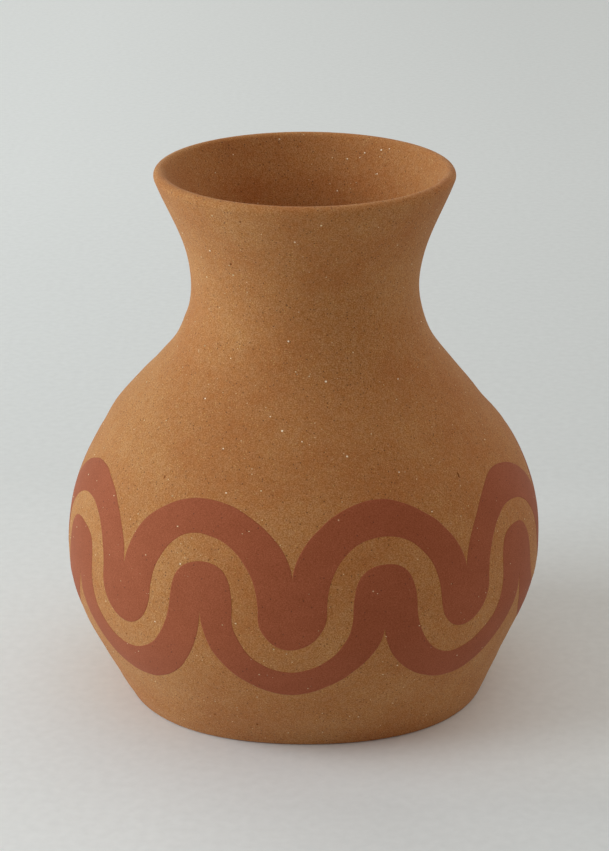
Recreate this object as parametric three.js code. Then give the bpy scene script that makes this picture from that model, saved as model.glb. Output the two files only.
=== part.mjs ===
// A clay vase with a flat foot, a round belly, a narrow neck and a flared mouth,
// painted round the belly with two bands of red slip that leave a wave of bare clay between them.
// Millimetres, +Z up. The origin is the middle of the flat foot, on the surface the vase stands on.
// -Y is the front.

import * as THREE from "three";

// Outside of the vase
const height = 210;
const bellyDiameter = 190; // over the slip
const bellyLevel = 57;
const footDiameter = 151; // at the top of the rounded edge
const footRounding = 3;
const footLean = 14; // degrees that the wall leans out above the foot
const neckDiameter = 89;
const mouthHeight = 46; // from the narrowest part of the neck to the top of the lip
const mouthDiameter = 116; // over the lip
const lipLean = 23; // degrees that the mouth flares at the lip

// How far the outline keeps its direction on each side of a bend
const footPull = 8;
const underBellyPull = 18.5;
const overBellyPull = 57;
const napePull = 37.5;
const throatPull = 16;
const flarePull = 19.5;

// Inside of the vase
const wallThickness = 6.4;
const lipThickness = 4.6;
const floorThickness = 8;
const floorCorner = 14; // size of the round corner between the inner floor and the wall

// Coats of slip
const slipThickness = 0.4;
const slipGap = 0.3;

// Painted pattern, in sizes that it has on the wall at the belly
const repeats = 8;
const patternTurn = 19.4; // degrees from the front to the middle of an arch
const waveWidth = 10; // bare clay between the two bands
const waveRise = 34; // from the belly's level up to the top of the wave
const waveDrop = 15.5; // from the belly's level down to the bottom of the wave
const legRise = 8; // from the belly's level up to where the wave runs upright
const bandWidth = 12; // red above a crest of the wave and below a trough
const upperSlit = 27; // depth of the notch between two arches
const lowerSlit = 29.5; // depth of the notch between two lobes

// How full the painted edges are: 0.55 is an ellipse, and more is squarer
const archFullness = 0.47;
const crestFullness = 0.6;
const tongueFullness = 0.55;
const fingerFullness = 0.72;
const troughFullness = 0.5;
const lobeFullness = 0.5;

// Fineness of the surfaces
const sectorsPerRepeat = 9;
const wallStep = 10;
const roundingSteps = 4;
const edgeSteps = 8; // along half a repeat
const coatRows = 4;

const clayColour = 0xb0804f;
const slipColour = 0x965840;

const girth = Math.PI * bellyDiameter;
const pitch = girth / repeats;
const neckLevel = height - mouthHeight;
const footSide = heading(footLean);
const lipSide = heading(lipLean);
const footCentre = place(footDiameter / 2 - footRounding * footSide.y, footRounding);
const lipCentre = place((mouthDiameter - lipThickness) / 2, height - lipThickness / 2);
const wall = outerWall();

function place(radius, level) {
  return new THREE.Vector2(radius, level);
}

// The unit direction of travel up the wall, from its lean away from upright in degrees.
function heading(lean) {
  const angle = THREE.MathUtils.degToRad(lean);
  return new THREE.Vector2(Math.sin(angle), Math.cos(angle));
}

// A direction up the wall, turned to point straight out of the vase.
function outward(direction) {
  return new THREE.Vector2(direction.y, -direction.x);
}

// A smooth stretch of outline between two places, each with its direction and its pull.
function stretch(start, startHeading, startPull, end, endHeading, endPull) {
  const leave = start.clone().addScaledVector(startHeading, startPull);
  const arrive = end.clone().addScaledVector(endHeading, -endPull);
  return new THREE.CubicBezierCurve(start, leave, arrive, end);
}

// The outside of the wall from the foot's rounded edge up to the lip, as radius and level.
function outerWall() {
  const upright = heading(0);
  const foot = footCentre.clone().addScaledVector(outward(footSide), footRounding);
  const belly = place(bellyDiameter / 2 - slipThickness - slipGap, bellyLevel);
  const neck = place(neckDiameter / 2, neckLevel);
  const lip = lipCentre.clone().addScaledVector(outward(lipSide), lipThickness / 2);
  return [
    stretch(foot, footSide, footPull, belly, upright, underBellyPull),
    stretch(belly, upright, overBellyPull, neck, upright, napePull),
    stretch(neck, upright, throatPull, lip, lipSide, flarePull),
  ];
}

// The wall's thickness is even up to the neck, and thins from there to the lip.
function thicknessAt(level) {
  const share = (level - neckLevel) / (lipCentre.y - neckLevel);
  return THREE.MathUtils.lerp(wallThickness, lipThickness, THREE.MathUtils.clamp(share, 0, 1));
}

// Even steps up the wall, on its outside or moved in by its thickness.
function wallPlaces(inside) {
  const places = [];
  for (const curve of wall) {
    const steps = Math.ceil(curve.getLength() / wallStep);
    for (let step = curve === wall[0] ? 0 : 1; step <= steps; step += 1) {
      const spot = curve.getPointAt(step / steps);
      const side = outward(curve.getTangentAt(step / steps));
      places.push(spot.addScaledVector(side, inside ? -thicknessAt(spot.y) : 0));
    }
  }
  return places;
}

// The places inside a round edge, between two angles in degrees, with its start and not its end.
function rounding(centre, radius, from, to, steps) {
  const places = [];
  for (let step = 0; step < steps; step += 1) {
    const angle = THREE.MathUtils.degToRad(THREE.MathUtils.lerp(from, to, step / steps));
    places.push(place(centre.x + radius * Math.cos(angle), centre.y + radius * Math.sin(angle)));
  }
  return places;
}

// The inside of the wall downwards, and the round corner that leads on to the floor.
function innerPlaces() {
  const side = wallPlaces(true).reverse().filter((spot) => spot.y > floorThickness + floorCorner);
  const [above, last] = side.slice(-2);
  const lean = (above.x - last.x) / (above.y - last.y);
  const corner = place(last.x - lean * (last.y - floorThickness), floorThickness);
  const end = place(corner.x - floorCorner, floorThickness);
  const bend = new THREE.QuadraticBezierCurve(last, corner, end).getPoints(roundingSteps);
  return [...side, ...bend.slice(1)];
}

// The fired clay, one piece from the foot to the lip, turned about the axis.
function bodyGeometry() {
  const outline = [
    place(0, 0),
    ...rounding(footCentre, footRounding, -90, -footLean, roundingSteps),
    ...wallPlaces(false),
    ...rounding(lipCentre, lipThickness / 2, -lipLean, 180 - lipLean, 2 * roundingSteps).slice(1),
    ...innerPlaces(),
    place(0, floorThickness),
  ];
  return new THREE.LatheGeometry(outline, sectorsPerRepeat * repeats).rotateX(Math.PI / 2);
}

// A place on the outside of the wall at a level, moved straight out from it.
function offWall(level, distance) {
  const curve = wall.find((piece) => level <= piece.v3.y);
  let low = 0;
  let high = 1;
  while (high - low > 1e-6) {
    const middle = (low + high) / 2;
    if (curve.getPoint(middle).y < level) {
      low = middle;
    } else {
      high = middle;
    }
  }
  return curve.getPoint(low).addScaledVector(outward(curve.getTangent(low)), distance);
}

// A quarter turn of a painted edge that starts or ends level, and is upright at its other end.
function quarter(start, end, startsLevel, fullness) {
  const across = new THREE.Vector2((end.x - start.x) * fullness, 0);
  const up = new THREE.Vector2(0, (end.y - start.y) * fullness);
  const leave = start.clone().add(startsLevel ? across : up);
  const arrive = end.clone().sub(startsLevel ? up : across);
  return new THREE.CubicBezierCurve(start, leave, arrive, end);
}

// A painted edge over one repeat, from its quarters over the first half. The second half mirrors it.
function paintedEdge(...quarters) {
  const path = new THREE.CurvePath();
  quarters.forEach((curve) => path.add(curve));
  const rising = path.getSpacedPoints(edgeSteps);
  const falling = rising.slice(1, -1).reverse().map((spot) => place(-spot.x, spot.y));
  return [...rising, ...falling];
}

// The edge of the wave on one side, which runs under a tongue, up its leg and over a crest.
function waveEdge(offset, bottomFullness, topFullness) {
  const bottom = place(-pitch / 2, bellyLevel - waveDrop + waveWidth / 2 + offset);
  const leg = place(-pitch / 4 - offset, bellyLevel + legRise);
  const top = place(0, bellyLevel + waveRise - waveWidth / 2 + offset);
  return paintedEdge(quarter(bottom, leg, true, bottomFullness), quarter(leg, top, false, topFullness));
}

// The tops of the arches, with a notch between each two.
function archEdge() {
  const top = place(0, bellyLevel + waveRise + bandWidth);
  return paintedEdge(quarter(place(-pitch / 2, top.y - upperSlit), top, false, archFullness));
}

// The undersides of the lobes, with a notch between each two.
function lobeEdge() {
  const bottom = place(-pitch / 2, bellyLevel - waveDrop - bandWidth);
  return paintedEdge(quarter(bottom, place(0, bottom.y + lowerSlit), true, lobeFullness));
}

// Both faces of a coat, column by column round the vase and row by row between its two edges.
function coatVertices(lowerEdge, upperEdge) {
  const vertices = [];
  for (const distance of [slipGap, slipGap + slipThickness]) {
    for (let column = 0; column < repeats * lowerEdge.length; column += 1) {
      const repeat = Math.floor(column / lowerEdge.length);
      const [low, high] = [lowerEdge, upperEdge].map((edge) => edge[column % edge.length]);
      for (let row = 0; row <= coatRows; row += 1) {
        const spot = low.clone().lerp(high, row / coatRows);
        const angle = THREE.MathUtils.degToRad(patternTurn) + (2 * Math.PI * (spot.x + repeat * pitch)) / girth;
        const { x: radius, y: level } = offWall(spot.y, distance);
        vertices.push(radius * Math.sin(angle), -radius * Math.cos(angle), level);
      }
    }
  }
  return vertices;
}

// A coat of slip on the wall, closed round the vase between two painted edges.
function coatGeometry(lowerEdge, upperEdge) {
  const columns = repeats * lowerEdge.length;
  const corner = (face, column, row) => (face * columns + (column % columns)) * (coatRows + 1) + row;
  const indices = [];
  const addQuad = (a, b, c, d) => indices.push(a, b, c, a, c, d);
  for (let column = 0; column < columns; column += 1) {
    const next = column + 1;
    for (let row = 0; row < coatRows; row += 1) {
      const above = row + 1;
      addQuad(corner(1, column, row), corner(1, next, row), corner(1, next, above), corner(1, column, above));
      addQuad(corner(0, next, row), corner(0, column, row), corner(0, column, above), corner(0, next, above));
    }
    addQuad(corner(0, column, 0), corner(0, next, 0), corner(1, next, 0), corner(1, column, 0));
    const top = coatRows;
    addQuad(corner(1, column, top), corner(1, next, top), corner(0, next, top), corner(0, column, top));
  }
  const geometry = new THREE.BufferGeometry();
  geometry.setAttribute("position", new THREE.Float32BufferAttribute(coatVertices(lowerEdge, upperEdge), 3));
  geometry.setIndex(indices);
  geometry.computeVertexNormals();
  return geometry;
}

function mesh(name, geometry, color, roughness) {
  const material = new THREE.MeshStandardMaterial({ color, roughness, metalness: 0 });
  const piece = new THREE.Mesh(geometry, material);
  piece.name = name;
  return piece;
}

const tongueEdge = waveEdge(waveWidth / 2, tongueFullness, crestFullness);
const fingerEdge = waveEdge(-waveWidth / 2, troughFullness, fingerFullness);

const vase = new THREE.Group();
vase.add(mesh("clay_body", bodyGeometry(), clayColour, 0.95));
vase.add(mesh("slip_band_upper", coatGeometry(tongueEdge, archEdge()), slipColour, 0.9));
vase.add(mesh("slip_band_lower", coatGeometry(lobeEdge(), fingerEdge), slipColour, 0.9));

export default vase;
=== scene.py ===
"""The looks of a clay vase that is painted round its belly with two bands of red slip.

Metres, +Z up, and -Y is the front. Turns are in degrees round the axis, from the front towards +X,
and levels are heights above the foot.
"""

import logging
import math
from bisect import bisect_right
from dataclasses import dataclass, replace
from enum import Enum
from functools import cached_property
from random import Random

import bmesh
import bpy
from mathutils import Matrix, Vector, noise
from mathutils.geometry import interpolate_bezier


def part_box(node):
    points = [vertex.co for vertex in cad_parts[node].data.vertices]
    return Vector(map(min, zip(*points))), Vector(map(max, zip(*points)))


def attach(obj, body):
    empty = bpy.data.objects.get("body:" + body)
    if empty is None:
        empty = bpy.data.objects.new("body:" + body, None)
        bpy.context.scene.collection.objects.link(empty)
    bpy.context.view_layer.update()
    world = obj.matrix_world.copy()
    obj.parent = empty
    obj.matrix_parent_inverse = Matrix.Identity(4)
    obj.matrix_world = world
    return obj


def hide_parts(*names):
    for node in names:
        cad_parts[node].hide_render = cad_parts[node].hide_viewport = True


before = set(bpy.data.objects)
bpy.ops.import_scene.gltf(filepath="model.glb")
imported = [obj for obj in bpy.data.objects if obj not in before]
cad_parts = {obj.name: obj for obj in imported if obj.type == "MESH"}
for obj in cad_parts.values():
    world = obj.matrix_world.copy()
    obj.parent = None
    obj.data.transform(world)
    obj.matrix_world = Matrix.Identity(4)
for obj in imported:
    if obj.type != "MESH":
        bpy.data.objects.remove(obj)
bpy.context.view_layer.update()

MM = 0.001
BODY = "root"
SLIP_ROOM = 0.3 * MM

log = logging.getLogger("clay_vase")

Spot = tuple[float, float]
Span = tuple[float, float]
Colour = tuple[float, float, float]
Direction = tuple[float, float, float]
Line = list[Vector]
Shape = bmesh.types.BMesh
Material = bpy.types.Material
Socket = bpy.types.NodeSocket
Value = float | Vector | Colour | Socket
Sockets = dict[str | int, Value]

# A name on the Mix node stands for several sockets, so these are the places of those for colours
MIX_SHARE, MIX_FIRST, MIX_SECOND, MIX_RESULT = 0, 6, 7, 2


def blended(share: float) -> float:
    """A share from 0 to 1, eased at both ends."""
    share = min(max(share, 0.0), 1.0)
    return share * share * (3 - 2 * share)


def evenly(spots: Line, count: int) -> Line:
    """Spreads spots evenly along a line.

    Args:
        spots: The line's own points, close enough together to be joined straight.
        count: The number of equal steps to make.

    Returns:
        count + 1 spots, from the line's start to its end.
    """
    lengths = [0.0]
    for start, end in zip(spots, spots[1:]):
        lengths.append(lengths[-1] + (end - start).length)
    made = []
    for step in range(count + 1):
        target = lengths[-1] * step / count
        index = min(bisect_right(lengths, target), len(spots) - 1)
        span = lengths[index] - lengths[index - 1]
        made.append(spots[index - 1].lerp(spots[index], (target - lengths[index - 1]) / span))
    return made


def length_of(spots: Line) -> float:
    """The length of a line of spots."""
    return sum((end - start).length for start, end in zip(spots, spots[1:]))


def on_rounding(centre: Vector, radius: float, angle: float) -> Vector:
    """The spot on a rounded edge at an angle in degrees, 0 being outwards and 90 up."""
    turn = math.radians(angle)
    return centre + radius * Vector((math.cos(turn), 0.0, math.sin(turn)))


def arc(centre: Vector, radius: float, start: float, end: float, steps: int) -> Line:
    """Rounds an edge in even steps from one angle to another, both included."""
    return [on_rounding(centre, radius, start + (end - start) * step / steps) for step in range(steps + 1)]


def turned(spot: Vector, turn: float) -> Vector:
    """A spot or direction in the plane y = 0, turned round the axis from the front by degrees."""
    angle = math.radians(turn)
    return Vector((spot.x * math.sin(angle), -spot.x * math.cos(angle), spot.z))


@dataclass(frozen=True)
class Bend:
    """A place on the wall's outline where its direction is known.

    The lean is away from upright in degrees, and the pulls say how far below and above the place
    the outline keeps that direction.
    """

    radius: float
    level: float
    lean: float = 0.0
    pull_below: float = 0.0
    pull_above: float = 0.0

    @property
    def spot(self) -> Vector:
        """The place in the plane y = 0."""
        return Vector((self.radius, 0.0, self.level))

    @property
    def heading(self) -> Vector:
        """The direction of travel up the wall."""
        angle = math.radians(self.lean)
        return Vector((math.sin(angle), 0.0, math.cos(angle)))

    def stretch_to(self, upper: "Bend", spots: int = 120) -> Line:
        """Lays the smooth stretch of outline from here up to the next bend.

        Args:
            upper: The next bend.
            spots: The number of spots to lay.

        Returns:
            The spots, both ends included.
        """
        leave = self.spot + self.heading * self.pull_above
        arrive = upper.spot - upper.heading * upper.pull_below
        return interpolate_bezier(self.spot, leave, arrive, upper.spot, spots)


@dataclass(frozen=True)
class Wall:
    """The turned shape of the vase, and how far the maker's hands left it from true.

    Leans are in degrees away from upright. The sway to the right and the swell outwards are given
    at levels from the foot up, both in mm.
    """

    height: float
    belly_radius: float
    belly_level: float = 57 * MM
    foot_radius: float = 74.9 * MM
    foot_rounding: float = 1.6 * MM
    foot_lean: float = 16.0
    neck_radius: float = 44.5 * MM
    mouth_height: float = 46 * MM
    mouth_radius: float = 58 * MM
    lip_lean: float = 23.0
    foot_pull: float = 8 * MM
    under_belly_pull: float = 18.5 * MM
    over_belly_pull: float = 57 * MM
    nape_pull: float = 37.5 * MM
    throat_pull: float = 16 * MM
    flare_pull: float = 19.5 * MM
    thickness: float = 6.4 * MM
    lip_thickness: float = 4.6 * MM
    floor_thickness: float = 8 * MM
    floor_corner: float = 14 * MM
    floor_corner_pull: float = 2 / 3
    outer_step: float = 2.4 * MM
    inner_step: float = 4.4 * MM
    underside_steps: int = 18
    foot_steps: int = 6
    lip_steps: int = 16
    floor_corner_spots: int = 9
    floor_steps: int = 14
    lip_drop: float = 0.3 * MM
    foot_oval: float = 1.3 * MM
    foot_square: float = 1.6 * MM
    foot_sides: int = 4
    foot_reach: float = 20 * MM
    ripple: float = 0.08 * MM
    ripple_width: float = 24 * MM
    sway: tuple[Spot, ...] = (
        (0, 1.1), (10, 0.35), (20, -0.3), (30, -0.6), (40, -0.4), (56, 0.05), (72, 0.3),
        (95, 0.5), (102, 0.3), (112, -1.0), (122, -0.5), (130, 0.1), (139, 0.45), (148, 0.5),
        (154, 0.75), (164, 0.65), (180, 0.8), (210, 0.5),
    )
    swell: tuple[Spot, ...] = (
        (0, 0.4), (6, 0.9), (13, 0.65), (20, 0.35), (26, 0.45), (32, 0.6), (40, 0.6), (48, 0.4), (56, 0.0),
        (76, 0.1), (90, -0.05), (112, 0.0), (122, 0.15), (130, -0.15), (140, -0.75), (150, -0.25),
        (162, -0.25), (178, 0.0), (200, -0.05), (210, -0.3),
    )

    @property
    def neck_level(self) -> float:
        """The level of the narrowest part of the neck."""
        return self.height - self.mouth_height

    @cached_property
    def foot_centre(self) -> Vector:
        """The middle of the foot's rounded edge."""
        inset = self.foot_rounding * math.cos(math.radians(self.foot_lean))
        return Vector((self.foot_radius - inset, 0.0, self.foot_rounding))

    @cached_property
    def lip_centre(self) -> Vector:
        """The middle of the lip's rounded edge."""
        half = self.lip_thickness / 2
        return Vector((self.mouth_radius - half, 0.0, self.height - half))

    @cached_property
    def bends(self) -> tuple[Bend, ...]:
        """The places that the outline runs through, from the foot up to the lip."""
        foot = on_rounding(self.foot_centre, self.foot_rounding, -self.foot_lean)
        lip = on_rounding(self.lip_centre, self.lip_thickness / 2, -self.lip_lean)
        return (
            Bend(foot.x, foot.z, self.foot_lean, 0.0, self.foot_pull),
            Bend(self.belly_radius, self.belly_level, 0.0, self.under_belly_pull, self.over_belly_pull),
            Bend(self.neck_radius, self.neck_level, 0.0, self.nape_pull, self.throat_pull),
            Bend(lip.x, lip.z, self.lip_lean, self.flare_pull, 0.0),
        )

    @cached_property
    def outside(self) -> Line:
        """Closely spaced spots up the outside, in the plane y = 0."""
        spots = [self.bends[0].spot]
        for lower, upper in zip(self.bends, self.bends[1:]):
            spots.extend(lower.stretch_to(upper)[1:])
        return spots

    @cached_property
    def outside_levels(self) -> list[float]:
        """The levels of the spots up the outside."""
        return [spot.z for spot in self.outside]

    def section(self, level: float) -> tuple[Vector, Vector]:
        """Finds the outside of the wall at a level.

        Args:
            level: The level, between the foot's rounded edge and the lip's.

        Returns:
            The spot in the plane y = 0, and the direction straight out of the wall there.
        """
        index = min(max(bisect_right(self.outside_levels, level), 1), len(self.outside) - 1)
        low, high = self.outside[index - 1], self.outside[index]
        share = (level - low.z) / (high.z - low.z)
        along = (high - low).normalized()
        return low.lerp(high, share), Vector((along.z, 0.0, -along.x))

    def thickness_at(self, level: float) -> float:
        """The wall's thickness, which is even up to the neck and thins from there to the lip."""
        share = (level - self.neck_level) / (self.lip_centre.z - self.neck_level)
        return self.thickness + (self.lip_thickness - self.thickness) * min(max(share, 0.0), 1.0)

    def inner_side(self) -> Line:
        """Lays the inside of the wall and the floor.

        Returns:
            Its spots in the plane y = 0, from the lip down to the floor's middle.
        """
        side = []
        for spot in reversed(self.outside):
            if spot.z > self.floor_thickness + self.floor_corner:
                place, facing = self.section(spot.z)
                side.append(place - facing * self.thickness_at(spot.z))
        side = evenly(side, round(length_of(side) / self.inner_step))
        above, last = side[-2:]
        lean = (above.x - last.x) / (above.z - last.z)
        corner = Vector((last.x - lean * (last.z - self.floor_thickness), 0.0, self.floor_thickness))
        end = corner - Vector((self.floor_corner, 0.0, 0.0))
        leave, arrive = (spot.lerp(corner, self.floor_corner_pull) for spot in (last, end))
        bend = interpolate_bezier(last, leave, arrive, end, self.floor_corner_spots)
        floor = evenly([end, Vector((0.0, 0.0, self.floor_thickness))], self.floor_steps)
        return [*side, *bend[1:], *floor[1:]]

    def profile(self) -> Line:
        """Lays the whole outline.

        Returns:
            Its spots, from the middle of the foot round the lip to the middle of the floor.
        """
        middle, edge = Vector((0.0, 0.0, 0.0)), Vector((self.foot_centre.x, 0.0, 0.0))
        underside = evenly([middle, edge], self.underside_steps)
        foot = arc(self.foot_centre, self.foot_rounding, -90, -self.foot_lean, self.foot_steps)
        outside = evenly(self.outside, round(length_of(self.outside) / self.outer_step))
        half = self.lip_thickness / 2
        lip = arc(self.lip_centre, half, -self.lip_lean, 180 - self.lip_lean, self.lip_steps)
        return [*underside, *foot[1:], *outside[1:], *lip[1:], *self.inner_side()[1:]]

    @staticmethod
    def between(stations: tuple[Spot, ...], level: float) -> float:
        """Reads a size off its stations, which give levels and sizes in mm.

        Args:
            stations: The stations, from the foot up.
            level: The level to read at.

        Returns:
            The size in metres, eased from each station to the next.
        """
        for (low, size), (high, next_size) in zip(stations, stations[1:]):
            if level <= high * MM:
                share = blended((level / MM - low) / (high - low))
                return (size + (next_size - size) * share) * MM
        return stations[-1][1] * MM

    def settled(self, spot: Vector) -> Vector:
        """Moves a spot of the true turned shape to where it is on the finished vase.

        Args:
            spot: A spot on the true shape, inside or out.

        Returns:
            The spot on the finished vase.
        """
        out = Vector((spot.x, spot.y, 0.0))
        if out.length > 0:
            out.normalize()
        at_foot = 1 - blended(spot.z / self.foot_reach)
        at_mouth = blended((spot.z - self.neck_level) / self.mouth_height)
        swell = self.between(self.swell, spot.z)
        swell += self.ripple * noise.noise(spot / self.ripple_width) * (1 - at_foot)
        squarish = -math.cos(self.foot_sides * math.atan2(spot.x, spot.y))
        squarish *= math.hypot(spot.x, spot.y) / self.foot_radius
        moved = spot + out * (swell + self.foot_square * squarish * at_foot)
        moved.y *= 1 - self.foot_oval / self.foot_radius * at_foot
        return moved + Vector((self.between(self.sway, spot.z), 0.0, -self.lip_drop * at_mouth))

    def place(self, turn: float, level: float, proud: float = 0.0) -> Vector:
        """Puts a spot on the finished outside of the vase.

        Args:
            turn: The turn from the front, in degrees.
            level: The level.
            proud: How far the spot stands off the wall.

        Returns:
            The spot in the vase's own frame.
        """
        spot, facing = self.section(level)
        return self.settled(turned(spot + facing * proud, turn))

    def facing(self, turn: float, level: float) -> Vector:
        """The direction straight out of the wall at a turn in degrees and a level."""
        return turned(self.section(level)[1], turn)


@dataclass(frozen=True)
class Arch:
    """One repeat of the pattern where it turns at the top, as turns in degrees and levels in mm.

    The fullnesses are those of its left and right flank: 0.55 is an ellipse, and more is squarer.
    """

    top: Spot
    wave_top: Spot
    finger_top: Spot
    finger_sides: Span
    slit: Spot
    fullness: Span = (0.47, 0.47)
    crest_fullness: Span = (0.6, 0.6)


@dataclass(frozen=True)
class Valley:
    """The pattern between two arches, as turns in degrees and levels in mm.

    The fullnesses are those of its lobe's left and right flank.
    """

    slit: Spot
    tongue: Spot
    tongue_sides: Span
    trough: Spot
    lobe: Spot
    lobe_fullness: Span = (0.5, 0.5)

    def moved(self, by: float) -> "Valley":
        """The same valley, further round by a number of degrees."""
        spots = {name: getattr(self, name) for name in ("slit", "tongue", "trough", "lobe")}
        moved = {name: (spot[0] + by, spot[1]) for name, spot in spots.items()}
        return replace(self, tongue_sides=(self.tongue_sides[0] + by, self.tongue_sides[1] + by), **moved)


class Edge(Enum):
    """The four painted edges, from the top down."""

    ARCHES = "tops of the arches"
    TONGUES = "upper side of the wave of bare clay"
    FINGERS = "lower side of the wave of bare clay"
    LOBES = "undersides of the lobes"


@dataclass(frozen=True)
class Pattern:
    """The painted pattern, laid out by hand round the belly, so no two repeats are quite alike.

    The levels and the kink are in mm, and the columns are those of each half of a repeat.
    """

    leg_level: float = 65.7
    tongue_fullness: float = 0.55
    finger_fullness: float = 0.72
    trough_fullness: float = 0.53
    quarter_spots: int = 40
    columns: int = 34
    kink: float = 0.3
    kink_width: float = 7 * MM
    arches: tuple[Arch, ...] = (
        Arch(
            (-68.8, 100.3), (-67.8, 88), (-68.8, 78.2), (-77.3, -59.9), (-66.8, 59.5),
            crest_fullness=(0.6, 0.54),
        ),
        Arch((-24.6, 103.2), (-26.1, 91.8), (-23.6, 82.5), (-32, -16.5), (-24, 64.8), (0.62, 0.5)),
        Arch((18.5, 104.2), (19, 92.3), (18.8, 82.7), (11.1, 26.5), (18.4, 59.2), (0.52, 0.5), (0.63, 0.6)),
        Arch((62.3, 102), (61.6, 89), (61.3, 80.8), (53.8, 69.1), (61.8, 61.3), (0.4, 0.47), (0.54, 0.6)),
        Arch((108, 101.7), (108, 90.2), (108.5, 80.7), (100.4, 116.2), (108.6, 58.2), (0.5, 0.45)),
        Arch((154.5, 103.1), (154, 90.9), (153.6, 81.3), (146, 161.8), (154.2, 61.7), (0.46, 0.55)),
        Arch((200, 102.3), (200.6, 90.7), (200.2, 80.9), (192.4, 208), (199.8, 57.9), (0.54, 0.48)),
        Arch((246, 101.3), (245.4, 89.3), (246, 79.7), (238.2, 253.9), (246.3, 59), (0.45, 0.5)),
    )
    valleys: tuple[Valley, ...] = (
        Valley((-91.3, 75.7), (-91, 51.7), (-99, -83), (-91, 40.7), (-91, 27.7)),
        Valley((-46.7, 72.5), (-45.7, 50.3), (-54.3, -37.8), (-46.7, 39.3), (-46.2, 26.1), (0.5, 0.58)),
        Valley((-2.8, 78.5), (-3, 51.9), (-10.4, 5.1), (-3, 41.9), (-2.5, 30.3), (0.5, 0.42)),
        Valley((41, 74.5), (39.5, 52.1), (33, 48), (38.5, 41.3), (41.5, 28.7)),
        Valley((85.4, 76.7), (85.2, 51.7), (77.4, 93), (85.5, 41.2), (85.2, 29.2), (0.62, 0.5)),
        Valley((131.4, 75.2), (131, 51.3), (123.2, 138.8), (131, 40.7), (131.3, 28.3), (0.45, 0.55)),
        Valley((177, 76.9), (177.4, 52.1), (169.4, 185.2), (177, 41.5), (177.2, 29.1)),
        Valley((222.6, 74.5), (223, 51.1), (215.2, 230.8), (223.2, 40.3), (222.8, 27.5), (0.54, 0.48)),
    )

    def quarter(self, start: Spot, end: Spot, starts_level: bool, fullness: float) -> Line:
        """Lays a quarter of a turning, which is level at one end and upright at the other.

        Args:
            start: The turn and level where it starts.
            end: The turn and level where it ends.
            starts_level: Whether it starts level and ends upright, or the other way round.
            fullness: How full it is: 0.55 is an ellipse, and more is squarer.

        Returns:
            Its spots, with the turn as x and the level as z.
        """
        first, last = Vector((start[0], 0.0, start[1])), Vector((end[0], 0.0, end[1]))
        across = Vector(((last.x - first.x) * fullness, 0.0, 0.0))
        up = Vector((0.0, 0.0, (last.z - first.z) * fullness))
        leave = first + (across if starts_level else up)
        arrive = last - (up if starts_level else across)
        return interpolate_bezier(first, leave, arrive, last, self.quarter_spots)

    def rise(self, edge: Edge, valley: Valley, arch: Arch, is_left: bool) -> Line:
        """Lays a painted edge from a valley up to an arch.

        Args:
            edge: Which of the four edges it is.
            valley: The valley that it starts from.
            arch: The arch that it ends on.
            is_left: Whether the valley is on the arch's left.

        Returns:
            Its spots, with the turn as x and the level as z.
        """
        near, far = (0, 1) if is_left else (1, 0)
        if edge is Edge.ARCHES:
            return self.quarter(valley.slit, arch.top, False, arch.fullness[near])
        if edge is Edge.LOBES:
            return self.quarter(valley.lobe, arch.slit, True, valley.lobe_fullness[far])
        if edge is Edge.TONGUES:
            leg = (valley.tongue_sides[far], self.leg_level)
            lower = self.quarter(valley.tongue, leg, True, self.tongue_fullness)
            return lower + self.quarter(leg, arch.wave_top, False, arch.crest_fullness[near])[1:]
        leg = (arch.finger_sides[near], self.leg_level)
        lower = self.quarter(valley.trough, leg, True, self.trough_fullness)
        return lower + self.quarter(leg, arch.finger_top, False, self.finger_fullness)[1:]

    def laid(self, edge: Edge, per_turn: float) -> list[Spot]:
        """Lays a painted edge all the way round.

        Args:
            edge: Which of the four edges it is.
            per_turn: Millimetres round the belly for each degree, for spreading the spots evenly.

        Returns:
            Turns in degrees and levels in metres, the same number of them for every edge.
        """
        valleys = [*self.valleys, self.valleys[0].moved(360)]
        spots = []
        for arch, before, after in zip(self.arches, valleys, valleys[1:]):
            rising = self.rise(edge, before, arch, True)
            falling = self.rise(edge, after, arch, False)
            for line in (rising, list(reversed(falling))):
                scaled = [Vector((spot.x * per_turn, 0.0, spot.z)) for spot in line]
                spots.extend(evenly(scaled, self.columns)[:-1])
        spots.append(spots[0] + Vector((360 * per_turn, 0.0, 0.0)))
        return [(spot.x / per_turn, spot.z * MM) for spot in spots]


class Mixing(Enum):
    """How a second colour goes over a first one."""

    COVER = "MIX"
    TINT = "MULTIPLY"
    ADD = "ADD"


class Sum(Enum):
    """The sums on two numbers that the finishes need."""

    ADD = "ADD"
    SUBTRACT = "SUBTRACT"
    MULTIPLY = "MULTIPLY"
    IS_LESS = "LESS_THAN"


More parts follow.
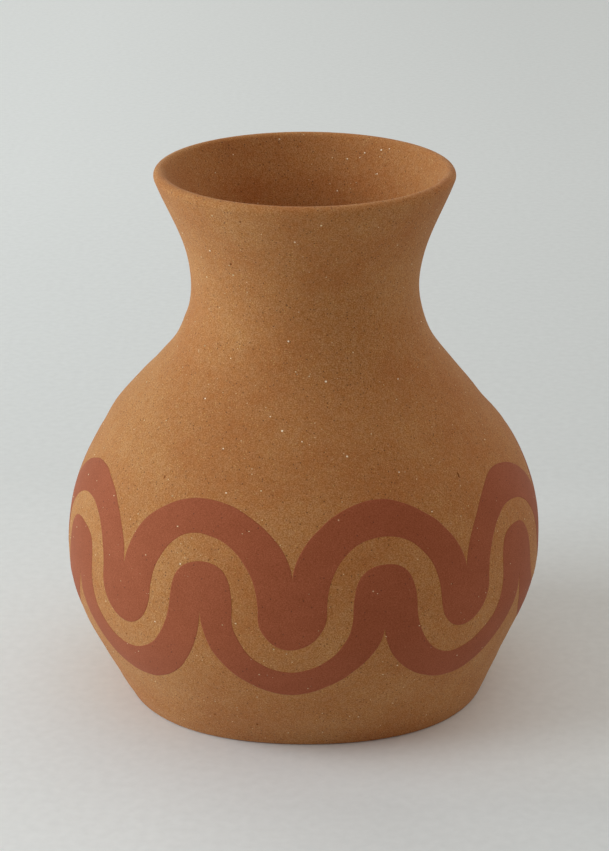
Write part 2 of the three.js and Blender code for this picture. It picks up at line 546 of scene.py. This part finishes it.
class Nodes:
    """A tree of shader nodes, as it is put together."""

    def __init__(self, owner: Material | bpy.types.World) -> None:
        """Empties the owner's tree."""
        self.owner = owner
        owner.use_nodes = True
        self.tree = owner.node_tree
        self.tree.nodes.clear()

    def add(self, kind: str, sockets: Sockets, **settings: object) -> bpy.types.Node:
        """Adds a node.

        Args:
            kind: Its type.
            sockets: What its sockets are fed with, by their names or places.
            **settings: Its properties by name, which are set before the sockets.

        Returns:
            The node.
        """
        node = self.tree.nodes.new(kind)
        for name, value in settings.items():
            setattr(node, name, value)
        for name, value in sockets.items():
            self.feed(node.inputs[name], value)
        return node

    def feed(self, socket: Socket, value: Value) -> None:
        """Links a socket to another one, or sets its value.

        Args:
            socket: The socket to feed.
            value: The socket that it is linked to, or its number, vector or colour.
        """
        if isinstance(value, Socket):
            self.tree.links.new(value, socket)
        elif isinstance(value, tuple) and socket.type == "RGBA":
            socket.default_value = (*value, 1.0)
        else:
            socket.default_value = value

    def mixed(self, share: Value, first: Value, second: Value, how: Mixing = Mixing.COVER) -> Socket:
        """Lays a second colour over a first one.

        Args:
            share: How much of the second one there is, from 0 to 1.
            first: The first colour.
            second: The second colour.
            how: The way it goes over the first.

        Returns:
            The mixed colour.
        """
        sockets = {MIX_SHARE: share, MIX_FIRST: first, MIX_SECOND: second}
        node = self.add("ShaderNodeMix", sockets, data_type="RGBA", blend_type=how.value)
        return node.outputs[MIX_RESULT]


class AirNodes(Nodes):
    """The nodes of the light that comes from all round."""

    def __init__(self) -> None:
        """Starts an empty world."""
        super().__init__(bpy.data.worlds.new("studio_air"))
        self.heading = self.add("ShaderNodeTexCoord", {}).outputs["Generated"]

    def towards(self, direction: Direction) -> Socket:
        """How far the light comes from a direction: 1 straight from it, and 0 from its side or beyond."""
        along = self.add("ShaderNodeVectorMath", {0: self.heading, 1: direction}, operation="DOT_PRODUCT")
        return self.add("ShaderNodeClamp", {"Value": along.outputs["Value"]}).outputs["Result"]

    def finish(self, colour: Value) -> bpy.types.World:
        """Ends the nodes in the world's background.

        Args:
            colour: The colour of the light.

        Returns:
            The finished world.
        """
        air = self.add("ShaderNodeBackground", {"Color": colour})
        self.add("ShaderNodeOutputWorld", {"Surface": air.outputs["Background"]})
        return self.owner


@dataclass(frozen=True)
class Cloud:
    """Soft blotches, stretched sideways and upwards. Their reach is the part of the noise that counts."""

    size: float
    layers: float = 2.0
    stretch: Span = (1.0, 1.0)
    reach: Span = (0.3, 0.7)


@dataclass(frozen=True)
class Tint:
    """What a cloud multiplies a colour by, where it is thinnest and where it is thickest."""

    cloud: Cloud
    thin: Colour
    thick: Colour


@dataclass(frozen=True)
class Grain:
    """Round grains of one kind in the clay, and how strongly their colour covers it.

    A share of their places hold one. The core is the share of its radius inside its soft edge.
    """

    spacing: float
    radius: float
    share: float
    strength: float
    colour: Colour
    core: float = 0.55


class FinishNodes(Nodes):
    """The nodes of one finish."""

    def __init__(self, name: str) -> None:
        """Starts an empty material that reads the piece's own coordinates."""
        super().__init__(bpy.data.materials.new(name))
        self.position = self.add("ShaderNodeTexCoord", {}).outputs["Object"]

    def noise(self, cloud: Cloud) -> Socket:
        """Adds a cloud's noise.

        Args:
            cloud: The cloud.

        Returns:
            The noise, before the cloud's reach is taken from it.
        """
        sideways, upwards = cloud.stretch
        scale = (1 / sideways, 1 / sideways, 1 / upwards)
        position = self.add("ShaderNodeMapping", {"Vector": self.position, "Scale": scale})
        sockets = {"Vector": position.outputs["Vector"], "Scale": 1 / cloud.size, "Detail": cloud.layers}
        return self.add("ShaderNodeTexNoise", sockets).outputs["Fac"]

    def blotches(self, cloud: Cloud) -> Socket:
        """Adds a cloud, from 0 where it is thinnest to 1 where it is thickest."""
        return self.ranged(self.noise(cloud), *cloud.reach)

    def ranged(
        self, value: Value, low: float, high: float, to_low: float = 0.0, to_high: float = 1.0,
    ) -> Socket:
        """Maps the range from low to high to another one, without going past its ends."""
        sockets = dict(enumerate((value, low, high, to_low, to_high)))
        return self.add("ShaderNodeMapRange", sockets, clamp=True).outputs["Result"]

    def maths(self, operation: Sum, first: Value, second: Value) -> Socket:
        """Adds a sum on two numbers."""
        return self.add("ShaderNodeMath", {0: first, 1: second}, operation=operation.value).outputs["Value"]

    def grains(self, grain: Grain) -> Socket:
        """Scatters grains of one kind through the clay.

        Args:
            grain: The kind of grain.

        Returns:
            1 inside a grain and 0 outside.
        """
        cells = self.add("ShaderNodeTexVoronoi", {"Vector": self.position, "Scale": 1 / grain.spacing})
        edge = grain.radius / grain.spacing
        inside = self.ranged(cells.outputs["Distance"], edge, grain.core * edge)
        lot = self.add("ShaderNodeSeparateColor", {"Color": cells.outputs["Color"]})
        taken = self.maths(Sum.IS_LESS, lot.outputs["Red"], grain.share)
        return self.maths(Sum.MULTIPLY, inside, taken)

    def finish(
        self, colour: Value, roughness: Value, height: Value, relief: float, shine: float, dust: float = 0.0,
    ) -> Material:
        """Ends the nodes in a shader.

        Args:
            colour: The surface's colour.
            roughness: Its roughness.
            height: The height of its relief, from 0 to 1.
            relief: What a height of 1 is in metres.
            shine: The specular level.
            dust: How much the surface pales at a glancing angle.

        Returns:
            The finished material.
        """
        bump = self.add("ShaderNodeBump", {"Strength": 1.0, "Distance": relief, "Height": height})
        sockets = {
            "Base Color": colour, "Roughness": roughness, "Specular IOR Level": shine,
            "Sheen Weight": dust, "Normal": bump.outputs["Normal"],
        }
        shader = self.add("ShaderNodeBsdfPrincipled", sockets)
        self.add("ShaderNodeOutputMaterial", {"Surface": shader.outputs["BSDF"]})
        return self.owner


@dataclass(frozen=True)
class SandyFinish:
    """Fired clay with sand and mica in it, without a glaze. Colours are linear.

    The mica's gleam is how much smoother it is. The sand's height and the dark grains' depth are
    shares of the relief, and the roughness rises with the sand.
    """

    name: str
    deep: Colour
    pale: Colour
    broad: Cloud
    fine: Cloud
    broad_share: float
    sand: Tint
    specks: tuple[Tint, ...]
    pale_grain: Grain
    dark_grain: Grain
    mica: Grain
    mica_gleam: float
    roughness: Span
    dark_depth: float
    relief: float
    sand_height: float = 0.6
    sand_reach: Span = (0.3, 0.7)
    shine: float = 0.3
    dust: float = 0.05

    def make(self) -> Material:
        """Makes the material.

        Returns:
            The material, named for the finish.
        """
        nodes = FinishNodes(self.name)
        broad = nodes.maths(Sum.MULTIPLY, nodes.blotches(self.broad), self.broad_share)
        fine = nodes.maths(Sum.MULTIPLY, nodes.blotches(self.fine), 1 - self.broad_share)
        colour = nodes.mixed(nodes.maths(Sum.ADD, broad, fine), self.deep, self.pale)
        sand = nodes.noise(self.sand.cloud)
        tones = [nodes.mixed(nodes.ranged(sand, *self.sand.cloud.reach), self.sand.thin, self.sand.thick)]
        tones.extend(nodes.mixed(nodes.blotches(tint.cloud), tint.thin, tint.thick) for tint in self.specks)
        for tone in tones:
            colour = nodes.mixed(1.0, colour, tone, Mixing.TINT)
        kinds = (self.pale_grain, self.dark_grain, self.mica)
        strewn = [nodes.grains(kind) for kind in kinds]
        for grains, kind in zip(strewn, kinds):
            colour = nodes.mixed(nodes.maths(Sum.MULTIPLY, grains, kind.strength), colour, kind.colour)
        _, dark, flakes = strewn
        rough = nodes.ranged(sand, *self.sand_reach, *self.roughness)
        rough = nodes.maths(Sum.SUBTRACT, rough, nodes.maths(Sum.MULTIPLY, flakes, self.mica_gleam))
        height = nodes.maths(Sum.MULTIPLY, sand, self.sand_height)
        height = nodes.maths(Sum.SUBTRACT, height, nodes.maths(Sum.MULTIPLY, dark, self.dark_depth))
        return nodes.finish(colour, rough, height, self.relief, self.shine, self.dust)


@dataclass(frozen=True)
class FiredClay(SandyFinish):
    """Sandy clay with flakes of mica, smoothed by hand and fired without a glaze."""

    name: str = "fired_clay"
    deep: Colour = (0.405, 0.153, 0.043)
    pale: Colour = (0.465, 0.216, 0.073)
    broad: Cloud = Cloud(30 * MM, 2.0, (1.4, 1.0), (0.35, 0.65))
    fine: Cloud = Cloud(7 * MM, 3.0)
    broad_share: float = 0.6
    sand: Tint = Tint(Cloud(0.44 * MM, 3.0, reach=(0.31, 0.69)), (0.73, 0.59, 0.27), (1.27, 1.41, 1.73))
    specks: tuple[Tint, ...] = (Tint(Cloud(2.0 * MM), (1.00, 0.95, 0.84), (1.00, 1.05, 1.16)),)
    pale_grain: Grain = Grain(1.0 * MM, 0.28 * MM, 0.2, 0.55, (0.66, 0.43, 0.15))
    dark_grain: Grain = Grain(1.25 * MM, 0.34 * MM, 0.2, 0.78, (0.110, 0.045, 0.018))
    mica: Grain = Grain(2.1 * MM, 0.28 * MM, 0.08, 0.65, (0.90, 0.76, 0.46))
    mica_gleam: float = 0.45
    roughness: Span = (0.84, 0.97)
    dark_depth: float = 0.55
    relief: float = 0.09 * MM


@dataclass(frozen=True)
class RedSlip(SandyFinish):
    """A thin matte coat of iron-red clay, brushed on before the firing."""

    name: str = "red_slip"
    deep: Colour = (0.306, 0.0755, 0.0265)
    pale: Colour = (0.345, 0.0905, 0.0348)
    broad: Cloud = Cloud(26 * MM, reach=(0.35, 0.65))
    fine: Cloud = Cloud(5 * MM, stretch=(2.2, 1.0))
    broad_share: float = 0.5
    sand: Tint = Tint(Cloud(0.42 * MM, 3.0), (0.78, 0.69, 0.42), (1.22, 1.32, 1.62))
    specks: tuple[Tint, ...] = ()
    pale_grain: Grain = Grain(1.4 * MM, 0.24 * MM, 0.10, 0.35, (0.48, 0.23, 0.10))
    dark_grain: Grain = Grain(1.5 * MM, 0.34 * MM, 0.14, 0.65, (0.075, 0.022, 0.012))
    mica: Grain = Grain(3.2 * MM, 0.34 * MM, 0.03, 0.7, (0.85, 0.66, 0.42))
    mica_gleam: float = 0.0
    roughness: Span = (0.80, 0.94)
    dark_depth: float = 0.5
    relief: float = 0.07 * MM


def piece_from(
    name: str, shape: Shape, finish: Material, is_smooth: bool = True,
) -> bpy.types.Object:
    """Makes a piece of the vase from its finished shape.

    Args:
        name: The piece's name.
        shape: Its shape in the vase's own frame. It is freed.
        finish: Its material.
        is_smooth: Whether its faces are shaded as one smooth surface.

    Returns:
        The piece, riding on the vase's one body.
    """
    mesh = bpy.data.meshes.new(name)
    shape.to_mesh(mesh)
    shape.free()
    mesh.polygons.foreach_set("use_smooth", [is_smooth] * len(mesh.polygons))
    mesh.materials.append(finish)
    piece = bpy.data.objects.new(name, mesh)
    bpy.context.scene.collection.objects.link(piece)
    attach(piece, BODY)
    return piece


@dataclass(frozen=True)
class Pit:
    """A dent that a lost grain left in the wall, with its turn in degrees and its sizes in mm."""

    turn: float
    level: float
    width: float
    tall: float
    depth: float


@dataclass
class ClayBody:
    """The fired clay, one piece from the foot to the lip, with the pits that lost grains left.

    The strewn pits have ranges in degrees and mm. Their stretch is their height over their width.
    """

    wall: Wall
    finish: Material
    sectors: int = 320
    weld: float = 0.001 * MM
    pits: tuple[Pit, ...] = (
        Pit(47.2, 105.0, 0.9, 2.5, 1.1), Pit(-35.2, 183.2, 1.0, 1.0, 0.6),
        Pit(-24.5, 14.2, 1.2, 0.8, 0.6), Pit(-12.8, 12.0, 0.9, 1.0, 0.6),
        Pit(-41.0, 106.5, 0.8, 1.3, 0.5), Pit(22.0, 66.0, 0.9, 0.8, 0.4),
        Pit(-46.0, 44.0, 0.8, 0.9, 0.5), Pit(-59.0, 195.0, 0.8, 0.9, 0.5),
        Pit(-24.5, 203.0, 0.8, 0.8, 0.5),
    )
    strewn: int = 16
    strewn_turns: Span = (85, 275)
    strewn_levels: Span = (12, 195)
    strewn_widths: Span = (0.7, 1.1)
    strewn_stretch: Span = (0.9, 1.3)
    strewn_depths: Span = (0.4, 0.7)
    seed: int = 7
    refined_reach: float = 3.0 * MM
    refining_cuts: int = 3
    pit_cuts: int = 2

    def spun(self) -> Shape:
        """Spins the wall's outline about the axis and leaves it as the maker's hands did.

        Returns:
            The clay without its pits.
        """
        shape = bmesh.new()
        ring = [shape.verts.new(spot) for spot in self.wall.profile()]
        line = [shape.edges.new(pair) for pair in zip(ring, ring[1:])]
        bmesh.ops.spin(
            shape, geom=ring + line, cent=(0, 0, 0), axis=(0, 0, 1), angle=math.tau,
            steps=self.sectors, use_merge=True,
        )
        bmesh.ops.remove_doubles(shape, verts=shape.verts, dist=self.weld)
        bmesh.ops.recalc_face_normals(shape, faces=shape.faces)
        for vert in shape.verts:
            vert.co = self.wall.settled(vert.co)
        return shape

    def all_pits(self) -> list[Pit]:
        """Strews pits over the side and the back of the wall.

        Returns:
            These, after the pits that show at the front.
        """
        lot = Random(self.seed)
        strewn = []
        for _ in range(self.strewn):
            width = lot.uniform(*self.strewn_widths)
            tall = width * lot.uniform(*self.strewn_stretch)
            turn, level = lot.uniform(*self.strewn_turns), lot.uniform(*self.strewn_levels)
            strewn.append(Pit(turn, level, width, tall, lot.uniform(*self.strewn_depths)))
        return [*self.pits, *strewn]

    @staticmethod
    def around(shape: Shape, centre: Vector, reach: float) -> list[bmesh.types.BMVert]:
        """The vertices within reach of a centre."""
        return [vert for vert in shape.verts if (vert.co - centre).length < reach]

    def press(self, shape: Shape, pit: Pit) -> None:
        """Presses a pit into the wall, on faces that are made fine enough for it first.

        Args:
            shape: The clay's shape.
            pit: The pit.
        """
        level = pit.level * MM
        centre = self.wall.place(pit.turn, level)
        inwards = -self.wall.facing(pit.turn, level)
        along = Vector((0.0, 0.0, 1.0)).cross(inwards).normalized()
        upwards = inwards.cross(along)
        reach = max(pit.width, pit.tall) * MM
        for spread, cuts in ((self.refined_reach, self.refining_cuts), (reach, self.pit_cuts)):
            touched = self.around(shape, centre, spread)
            near = dict.fromkeys(face for vert in touched for face in vert.link_faces)
            edges = dict.fromkeys(edge for face in near for edge in face.edges)
            bmesh.ops.subdivide_edges(shape, edges=list(edges), cuts=cuts, use_grid_fill=True)
        for vert in self.around(shape, centre, reach):
            offset = vert.co - centre
            across = offset.dot(along) / (pit.width * MM / 2)
            tall = offset.dot(upwards) / (pit.tall * MM / 2)
            share = 1 - across * across - tall * tall
            if share > 0:
                vert.co += inwards * pit.depth * MM * math.sqrt(share)

    def build(self) -> bpy.types.Object:
        """Builds the clay, which stands for its solid."""
        shape = self.spun()
        for pit in self.all_pits():
            self.press(shape, pit)
        wide = [face for face in shape.faces if len(face.verts) > 4]
        bmesh.ops.triangulate(shape, faces=wide)
        piece = piece_from("fired_clay_body", shape, self.finish)
        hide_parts("clay_body")
        return piece


@dataclass(frozen=True)
class CoatRow:
    """A row of the coat's section: its share of the way up the band, its inset and its height in mm."""

    share: float
    inset: float
    proud: float


@dataclass
class SlipBand:
    """One of the two bands of slip, a thin coat with soft edges between two painted edges.

    The coat stands proud of the wall, is bedded in it and softens towards its edges, all in mm. The
    shoulder of an edge is part way across its softness and part way up.
    """

    name: str
    node: str
    upper: Edge
    lower: Edge
    wall: Wall
    pattern: Pattern
    finish: Material
    rows: int = 20
    under_rows: int = 8
    proud: float = 0.07
    bedded: float = 0.12
    softness: float = 0.45
    shoulder_inset: float = 0.4
    shoulder_height: float = 0.75
    weld: float = 0.001 * MM

    def section(self) -> list[CoatRow]:
        """Lays the coat's section.

        Returns:
            Its rows, up its outside and down its underside, which is bedded in the wall.
        """
        shoulder = self.softness * self.shoulder_inset
        height = self.proud * self.shoulder_height
        rows = [CoatRow(0.0, 0.0, -self.bedded), CoatRow(0.0, 0.0, 0.0)]
        rows.extend((CoatRow(0.0, shoulder, height), CoatRow(0.0, self.softness, self.proud)))
        rows.extend(CoatRow(row / self.rows, 0.0, self.proud) for row in range(1, self.rows))
        rows.extend((CoatRow(1.0, -self.softness, self.proud), CoatRow(1.0, -shoulder, height)))
        rows.extend((CoatRow(1.0, 0.0, 0.0), CoatRow(1.0, 0.0, -self.bedded)))
        rows.extend(CoatRow(1 - row / self.under_rows, 0.0, -self.bedded) for row in range(1, self.under_rows))
        return [*rows, rows[0]]

    def kinked(self, spot: Spot) -> Spot:
        """A spot on a painted edge, moved by the small kinks of handwork."""
        place, kink = self.wall.place(*spot) / self.pattern.kink_width, self.pattern.kink
        return spot[0] + noise.noise(place) * kink / self.per_turn, spot[1] + noise.noise(-place) * kink * MM

    @property
    def per_turn(self) -> float:
        """Millimetres round the belly for each degree of turn."""
        return math.tau * self.wall.belly_radius / MM / 360

    def build(self) -> bpy.types.Object:
        """Builds the band, which stands for its solid."""
        lower = [self.kinked(spot) for spot in self.pattern.laid(self.lower, self.per_turn)]
        upper = [self.kinked(spot) for spot in self.pattern.laid(self.upper, self.per_turn)]
        section = self.section()
        columns, rows = len(upper) - 1, len(section) - 1
        shape = bmesh.new()
        bmesh.ops.create_grid(shape, x_segments=columns, y_segments=rows, size=1.0)
        for vert in shape.verts:
            column = round((vert.co.x + 1) / 2 * columns)
            row = section[round((vert.co.y + 1) / 2 * rows)]
            (low_turn, low_level), (high_turn, high_level) = lower[column], upper[column]
            width = math.hypot((high_turn - low_turn) * self.per_turn, (high_level - low_level) / MM)
            share = row.share + row.inset / width
            turn = low_turn + (high_turn - low_turn) * share
            level = low_level + (high_level - low_level) * share
            vert.co = self.wall.place(turn, level, row.proud * MM)
        bmesh.ops.remove_doubles(shape, verts=shape.verts, dist=self.weld)
        bmesh.ops.recalc_face_normals(shape, faces=shape.faces)
        piece = piece_from(self.name, shape, self.finish)
        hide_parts(self.node)
        return piece


@dataclass(frozen=True)
class Mica:
    """Pale mica with a soft gleam, duller where clay still clings to it. The colours are linear."""

    name: str = "mica"
    colour: Colour = (0.93, 0.80, 0.50)
    dull: Colour = (0.48, 0.31, 0.14)
    mottle: Cloud = Cloud(1.4 * MM, 1.0, reach=(0.35, 0.68))
    grain: Cloud = Cloud(0.2 * MM, 1.0)
    relief: float = 0.01 * MM
    roughness: float = 0.35
    shine: float = 0.4

    def make(self) -> Material:
        """Makes the material.

        Returns:
            The material, named for the finish.
        """
        nodes = FinishNodes(self.name)
        colour = nodes.mixed(nodes.blotches(self.mottle), self.dull, self.colour)
        return nodes.finish(colour, self.roughness, nodes.noise(self.grain), self.relief, self.shine)


@dataclass(frozen=True)
class GlintPaintedMica(Mica):
    """Mica for the flakes that catch the light, in paler colours than the rest as a painted glint."""

    name: str = "bright_mica"
    # Pale colours that are a painted glint, standing in for the light that these flakes catch
    colour: Colour = (0.98, 0.90, 0.70)
    dull: Colour = (0.95, 0.82, 0.58)


@dataclass
class Flakes:
    """Flakes of mica that the smoothing left bare, each a small thin plate bedded in the clay.

    A flake's narrowest width and the radius of its outer face are shares of its own radius.
    """

    name: str
    wall: Wall
    finish: Material
    seed: int = 11
    sides: int = 6
    tilt: float = 0.3
    narrowest: float = 0.45
    outer_face: float = 0.9
    proud: float = 0.02 * MM
    thickness: float = 0.16 * MM

    def bed(
        self, shape: Shape, lot: Random, turn: float, level: float, radius: float,
        is_inside: bool = False,
    ) -> None:
        """Beds one flake in the wall.

        Args:
            shape: The shape that holds all the flakes.
            lot: The source of its tilt and its width.
            turn: Its turn from the front, in degrees.
            level: Its level.
            radius: Its radius.
            is_inside: Whether it is on the wall's inside.
        """
        facing = self.wall.facing(turn, level)
        proud = self.proud
        if is_inside:
            facing.negate()
            proud = -self.wall.thickness_at(level) - self.proud
        tilt = Vector((lot.gauss(0, self.tilt), lot.gauss(0, self.tilt), lot.gauss(0, self.tilt)))
        pose = Matrix.Translation(self.wall.place(turn, level, proud))
        pose @= (facing + tilt).to_track_quat("Z", "Y").to_matrix().to_4x4()
        pose @= Matrix.Diagonal((1.0, lot.uniform(self.narrowest, 1.0), 1.0, 1.0))
        bmesh.ops.create_cone(
            shape, cap_ends=True, segments=self.sides, radius1=radius, radius2=radius * self.outer_face,
            depth=self.thickness, matrix=pose,
        )

    def lay(self, shape: Shape, lot: Random) -> None:
        """Beds all the flakes, which each kind does in its own way.

        Args:
            shape: The shape that holds them.
            lot: The source of what is left to chance.
        """
        raise NotImplementedError

    def build(self) -> bpy.types.Object:
        """Builds all the flakes as one piece."""
        shape = bmesh.new()
        self.lay(shape, Random(self.seed))
        return piece_from(self.name, shape, self.finish, is_smooth=False)


@dataclass
class StrewnFlakes(Flakes):
    """The many small flakes, strewn evenly over the outside and the inside of the mouth."""

    count: int = 560
    inner_count: int = 90
    outer_levels: Span = (6 * MM, 205 * MM)
    inner_levels: Span = (150 * MM, 203 * MM)
    least_radius: float = 0.1 * MM
    most_radius: float = 0.46 * MM
    usual_radius: float = 0.12 * MM

    def lay(self, shape: Shape, lot: Random) -> None:
        """Strews the flakes, fewer of them where the wall is narrower.

        Args:
            shape: The shape that holds them.
            lot: The source of their places and sizes.
        """
        sizes = (self.least_radius, self.most_radius, self.usual_radius)
        made = 0
        while made < self.count:
            turn, level = lot.uniform(-180, 180), lot.uniform(*self.outer_levels)
            spot, _ = self.wall.section(level)
            if lot.uniform(0, self.wall.belly_radius) < spot.x:
                self.bed(shape, lot, turn, level, lot.triangular(*sizes))
                made += 1
        for _ in range(self.inner_count):
            turn, level = lot.uniform(-180, 180), lot.uniform(*self.inner_levels)
            self.bed(shape, lot, turn, level, lot.triangular(*sizes), True)


@dataclass
class Glints(Flakes):
    """The few flakes that catch the light, with their places as turns in degrees and levels in mm.

    The sizes are the ranges of their radii, as shares of the largest.
    """

    tilt: float = 0.1
    narrowest: float = 0.75
    radius: float = 0.44 * MM
    sizes: Span = (0.7, 1.0)
    inner_sizes: Span = (0.6, 0.9)
    places: tuple[Spot, ...] = (
        (-8, 155), (-40, 132), (-12, 130), (-7, 126), (0, 123), (-25, 119), (-21, 106), (9, 141), (42, 138),
        (14, 118), (29, 111), (34, 97), (-30, 80), (-36, 55), (-46, 187), (-4, 196),
    )
    inner_places: tuple[Spot, ...] = (
        (152, 202), (144, 204), (140, 205), (154, 200), (160, 199), (143, 195), (163, 187), (191, 206),
        (214, 202),
    )

    def lay(self, shape: Shape, lot: Random) -> None:
        """Beds each flake in its place.

        Args:
            shape: The shape that holds them.
            lot: The source of their sizes.
        """
        for turn, level in self.places:
            self.bed(shape, lot, turn, level * MM, self.radius * lot.uniform(*self.sizes))
        for turn, level in self.inner_places:
            self.bed(shape, lot, turn, level * MM, self.radius * lot.uniform(*self.inner_sizes), True)


@dataclass(frozen=True)
class Panel:
    """A wide soft light far off on one side, with its direction from the vase and its linear colour."""

    direction: Direction
    colour: Colour


@dataclass(frozen=True)
class StudioPaper:
    """Pale paper for the floor, with painted light and shade in slow changes of tone.

    Each painted tone goes from its first light to its second over its reach, which is away from the camera for
    the far and the near one, to the right for the side, and both ways for the front right corner. They stand
    in for how the studio's light falls: lighter nearest the camera and far off, darker to the right and in
    the front right corner.
    """

    name: str = "studio_paper"
    colour: Colour = (0.785, 0.818, 0.832)
    weave: Cloud = Cloud(4 * MM, 4.0)
    weave_light: Span = (0.975, 1.025)
    # Painted light and shade: how much each stretch of floor is lightened or darkened in place of the light
    # falling there
    far_reach: Span = (0.2, 0.75)
    far_painted_light: Span = (0.92, 0.985)
    near_reach: Span = (-0.01, 0.2)
    near_painted_light: Span = (1.155, 1.0)
    side_reach: Span = (-0.2, 0.2)
    side_painted_light: Span = (1.06, 0.945)
    corner_across: Span = (-0.06, 0.03)
    corner_forwards: Span = (-0.085, -0.118)
    corner_painted_shade: Span = (1.0, 0.87)
    roughness: float = 0.9
    relief: float = 0.02 * MM
    shine: float = 0.1

    def make(self) -> Material:
        """Makes the material.

        Returns:
            The material, named for the finish.
        """
        nodes = FinishNodes(self.name)
        weave = nodes.ranged(nodes.noise(self.weave), *self.weave.reach, *self.weave_light)
        place = nodes.add("ShaderNodeSeparateXYZ", {"Vector": nodes.position})
        right, back = place.outputs["X"], place.outputs["Y"]
        # The mask of the front right corner, where painted shade darkens the floor
        across = nodes.ranged(right, *self.corner_across)
        corner = nodes.maths(Sum.MULTIPLY, across, nodes.ranged(back, *self.corner_forwards))
        # The weave's own tone, times the painted light and shade far off, near, to the side and in the corner
        tone = weave
        for painted_tone in (
            nodes.ranged(back, *self.far_reach, *self.far_painted_light),
            nodes.ranged(back, *self.near_reach, *self.near_painted_light),
            nodes.ranged(right, *self.side_reach, *self.side_painted_light),
            nodes.ranged(corner, 0.0, 1.0, *self.corner_painted_shade),
        ):
            tone = nodes.maths(Sum.MULTIPLY, tone, painted_tone)
        colour = nodes.mixed(1.0, self.colour, tone, Mixing.TINT)
        return nodes.finish(colour, self.roughness, weave, self.relief, self.shine)


@dataclass
class Studio:
    """The pale floor, the soft light from the left and the camera, with angles in degrees."""

    paper: StudioPaper = StudioPaper()
    floor_radius: float = 7.0
    floor_sides: int = 96
    key_turn: float = -85.0
    key_elevation: float = 17.0
    key_distance: float = 4.6
    key_size: Span = (3.5, 3.5)
    key_aim: Direction = (0.0, 0.0, 0.1)
    key_power: float = 213.745
    key_colour: Colour = (0.8664, 0.9539, 1.0)
    panels: tuple[Panel, ...] = (
        Panel((0.9, 0.44, 0), (0.56, 0.51, 0.465)),
        Panel((0, 1, 0), (0.21, 0.37, 0.375)),
        Panel((0, 0, 1), (0.62, 0.54, 0.485)),
    )
    air_seen: Colour = (0.62, 0.63, 0.61)
    lens: float = 97.07
    camera_spot: Direction = (0.00044, -0.851, 0.4343)
    camera_pitch: float = 21.21

    def floor(self) -> None:
        """Lays a wide pale floor."""
        shape = bmesh.new()
        sides, radius = self.floor_sides, self.floor_radius
        bmesh.ops.create_circle(shape, cap_ends=True, segments=sides, radius=radius)
        mesh = bpy.data.meshes.new("studio_floor")
        shape.to_mesh(mesh)
        shape.free()
        floor = bpy.data.objects.new("studio_floor", mesh)
        bpy.context.scene.collection.objects.link(floor)
        mesh.materials.append(self.paper.make())

    def lights(self) -> None:
        """Hangs the soft key light and sets the even light from all round."""
        turn, rise = math.radians(self.key_turn), math.radians(self.key_elevation)
        back = Vector((math.sin(turn) * math.cos(rise), -math.cos(turn) * math.cos(rise), math.sin(rise)))
        lamp = bpy.data.lights.new("key_softbox", "AREA")
        lamp.shape = "RECTANGLE"
        lamp.size, lamp.size_y = self.key_size
        lamp.energy = self.key_power
        lamp.color = self.key_colour
        key = bpy.data.objects.new("key_softbox", lamp)
        key.location = Vector(self.key_aim) + back * self.key_distance
        key.rotation_euler = (-back).to_track_quat("-Z", "Y").to_euler()
        bpy.context.scene.collection.objects.link(key)
        nodes = AirNodes()
        air: Value = (0.0, 0.0, 0.0)
        for panel in self.panels:
            air = nodes.mixed(nodes.towards(panel.direction), air, panel.colour, Mixing.ADD)
        seen = nodes.add("ShaderNodeLightPath", {}).outputs["Is Camera Ray"]
        bpy.context.scene.world = nodes.finish(nodes.mixed(seen, air, self.air_seen))

    def camera(self) -> None:
        """Sets up the camera at the photograph's viewing angle."""
        eye = bpy.data.cameras.new("camera")
        eye.lens = self.lens
        camera = bpy.data.objects.new("camera", eye)
        camera.location = self.camera_spot
        camera.rotation_euler = (math.radians(90 - self.camera_pitch), 0.0, 0.0)
        bpy.context.scene.collection.objects.link(camera)
        bpy.context.scene.camera = camera

    def build(self) -> None:
        """Builds the whole studio."""
        self.floor()
        self.lights()
        self.camera()
        bpy.context.scene.view_settings.view_transform = "Standard"


def main() -> None:
    """Builds the vase and its studio."""
    logging.basicConfig(level=logging.INFO, format="%(name)s: %(message)s")
    pattern = Pattern()
    wall = Wall(height=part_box("clay_body")[1].z, belly_radius=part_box("slip_band_upper")[1].x - SLIP_ROOM)
    clay, slip = FiredClay().make(), RedSlip().make()
    makers = (
        ClayBody(wall, clay),
        StrewnFlakes("mica_flakes", wall, Mica().make()),
        Glints("mica_glints", wall, GlintPaintedMica().make()),
        SlipBand("slip_coat_upper", "slip_band_upper", Edge.ARCHES, Edge.TONGUES, wall, pattern, slip),
        SlipBand("slip_coat_lower", "slip_band_lower", Edge.FINGERS, Edge.LOBES, wall, pattern, slip),
    )
    for maker in makers:
        piece = maker.build()
        log.info("%s: %d faces", piece.name, len(piece.data.polygons))
    Studio().build()


if __name__ == "__main__":
    main()
